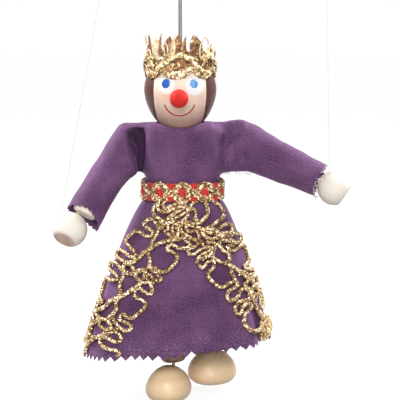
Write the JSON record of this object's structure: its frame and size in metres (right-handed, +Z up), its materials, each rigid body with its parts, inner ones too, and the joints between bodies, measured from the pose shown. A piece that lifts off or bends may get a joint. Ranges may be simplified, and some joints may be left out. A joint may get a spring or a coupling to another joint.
{
  "type": "rod marionette doll",
  "caption": "Wooden queen marionette on a steel rod, with a ball head, gold crown, long dress with gold braid, strung hands and jointed limbs.",
  "frame": {"origin": "inner top of the hanging loop at the rod's upper end", "axes": "+X to the viewer's right, +Y away from the viewer, +Z up along the rod"},
  "size_m": [0.1644, 0.0616, 0.237],
  "materials": {
    "rod_steel": "dark drawn wire",
    "thread": "thin twisted thread",
    "cord": "twisted cotton cord",
    "pale_wood": "pale turned wood, thin clear coat",
    "tan_wood": "stained and varnished wood",
    "red_paint": "red painted wood, satin",
    "purple_cloth": "plain woven cotton, pinked edges",
    "gold_lame": "metallic gold braid",
    "red_gold_braid": "gold braid with red lozenges"
  },
  "bodies": {
    "control": {"control_rod": "rod_steel", "string_left": "thread", "string_right": "thread", "string_loop_left": "thread", "string_loop_right": "thread"},
    "head": {"head": "pale_wood", "nose": "red_paint", "crown": "gold_lame"},
    "neck": {"neck_link": "rod_steel"},
    "torso": {"torso_eye": "rod_steel", "torso_block": "pale_wood", "bodice": "purple_cloth", "skirt": "purple_cloth", "belt": "red_gold_braid", "skirt_trim": "gold_lame"},
    "shoulder_left": {"shoulder_cord_left": "cord"},
    "shoulder_right": {"shoulder_cord_right": "cord"},
    "arm_left": {"arm_dowel_left": "pale_wood", "sleeve_left": "purple_cloth"},
    "arm_right": {"arm_dowel_right": "pale_wood", "sleeve_right": "purple_cloth"},
    "hand_left": {"wrist_cord_left": "cord", "hand_left": "pale_wood", "string_ring_left": "thread"},
    "hand_right": {"wrist_cord_right": "cord", "hand_right": "pale_wood", "string_ring_right": "thread"},
    "leg_left": {"hip_cord_left": "cord", "leg_dowel_left": "tan_wood"},
    "leg_right": {"hip_cord_right": "cord", "leg_dowel_right": "tan_wood"},
    "foot_left": {"ankle_cord_left": "cord", "foot_left": "tan_wood"},
    "foot_right": {"ankle_cord_right": "cord", "foot_right": "tan_wood"}
  },
  "joints": [
    {"name": "head_turn", "type": "hinge", "parent": "control", "child": "head", "pos_m": [0, 0, -0.063], "axis": [0, 0, 1], "continuous": true},
    {"name": "torso_nod", "type": "hinge", "parent": "control", "child": "neck", "pos_m": [0, 0, -0.08795], "axis": [1, 0, 0], "range_deg": [-5, 5]},
    {"name": "torso_tilt", "type": "hinge", "parent": "neck", "child": "torso", "pos_m": [0, 0, -0.09055], "axis": [0, 1, 0], "range_deg": [-5, 5]},
    {"name": "left_arm_swing", "type": "hinge", "parent": "torso", "child": "shoulder_left", "pos_m": [-0.0286, 0, -0.0906], "axis": [1, 0, 0], "range_deg": [-45, 25]},
    {"name": "left_arm_raise", "type": "hinge", "parent": "shoulder_left", "child": "arm_left", "pos_m": [-0.0286, 0, -0.0906], "axis": [0, 1, 0], "range_deg": [-8, 75], "deforming": ["string_left"]},
    {"name": "left_wrist_bend", "type": "hinge", "parent": "arm_left", "child": "hand_left", "pos_m": [-0.0515, -0.01746, -0.12724], "axis": [0.1985, -0.9272, 0.3177], "range_deg": [-15, 15]},
    {"name": "right_arm_swing", "type": "hinge", "parent": "torso", "child": "shoulder_right", "pos_m": [0.032, 0, -0.0935], "axis": [1, 0, 0], "range_deg": [-45, 25]},
    {"name": "right_arm_raise", "type": "hinge", "parent": "shoulder_right", "child": "arm_right", "pos_m": [0.032, 0, -0.0935], "axis": [0, -1, 0], "range_deg": [-40, 40], "deforming": ["string_right"]},
    {"name": "right_wrist_bend", "type": "hinge", "parent": "arm_right", "child": "hand_right", "pos_m": [0.07448, -0.00649, -0.11153], "axis": [0.1281, 0.9903, -0.0544], "range_deg": [-15, 15]},
    {"name": "left_leg_swing", "type": "hinge", "parent": "torso", "child": "leg_left", "pos_m": [-0.0098, 0, -0.1283], "axis": [0.866, 0.5, 0], "range_deg": [-7, 12]},
    {"name": "right_leg_swing", "type": "hinge", "parent": "torso", "child": "leg_right", "pos_m": [0.0122, 0, -0.1283], "axis": [0.866, 0.5, 0], "range_deg": [-10, 3]},
    {"name": "left_foot_bend", "type": "hinge", "parent": "leg_left", "child": "foot_left", "pos_m": [-0.00414, -0.00305, -0.21606], "axis": [0.9563, -0.2924, 0], "range_deg": [-6, 10]},
    {"name": "right_foot_bend", "type": "hinge", "parent": "leg_right", "child": "foot_right", "pos_m": [0.02566, 0.01042, -0.21106], "axis": [0.5, -0.866, 0], "range_deg": [-4, 14]}
  ]
}
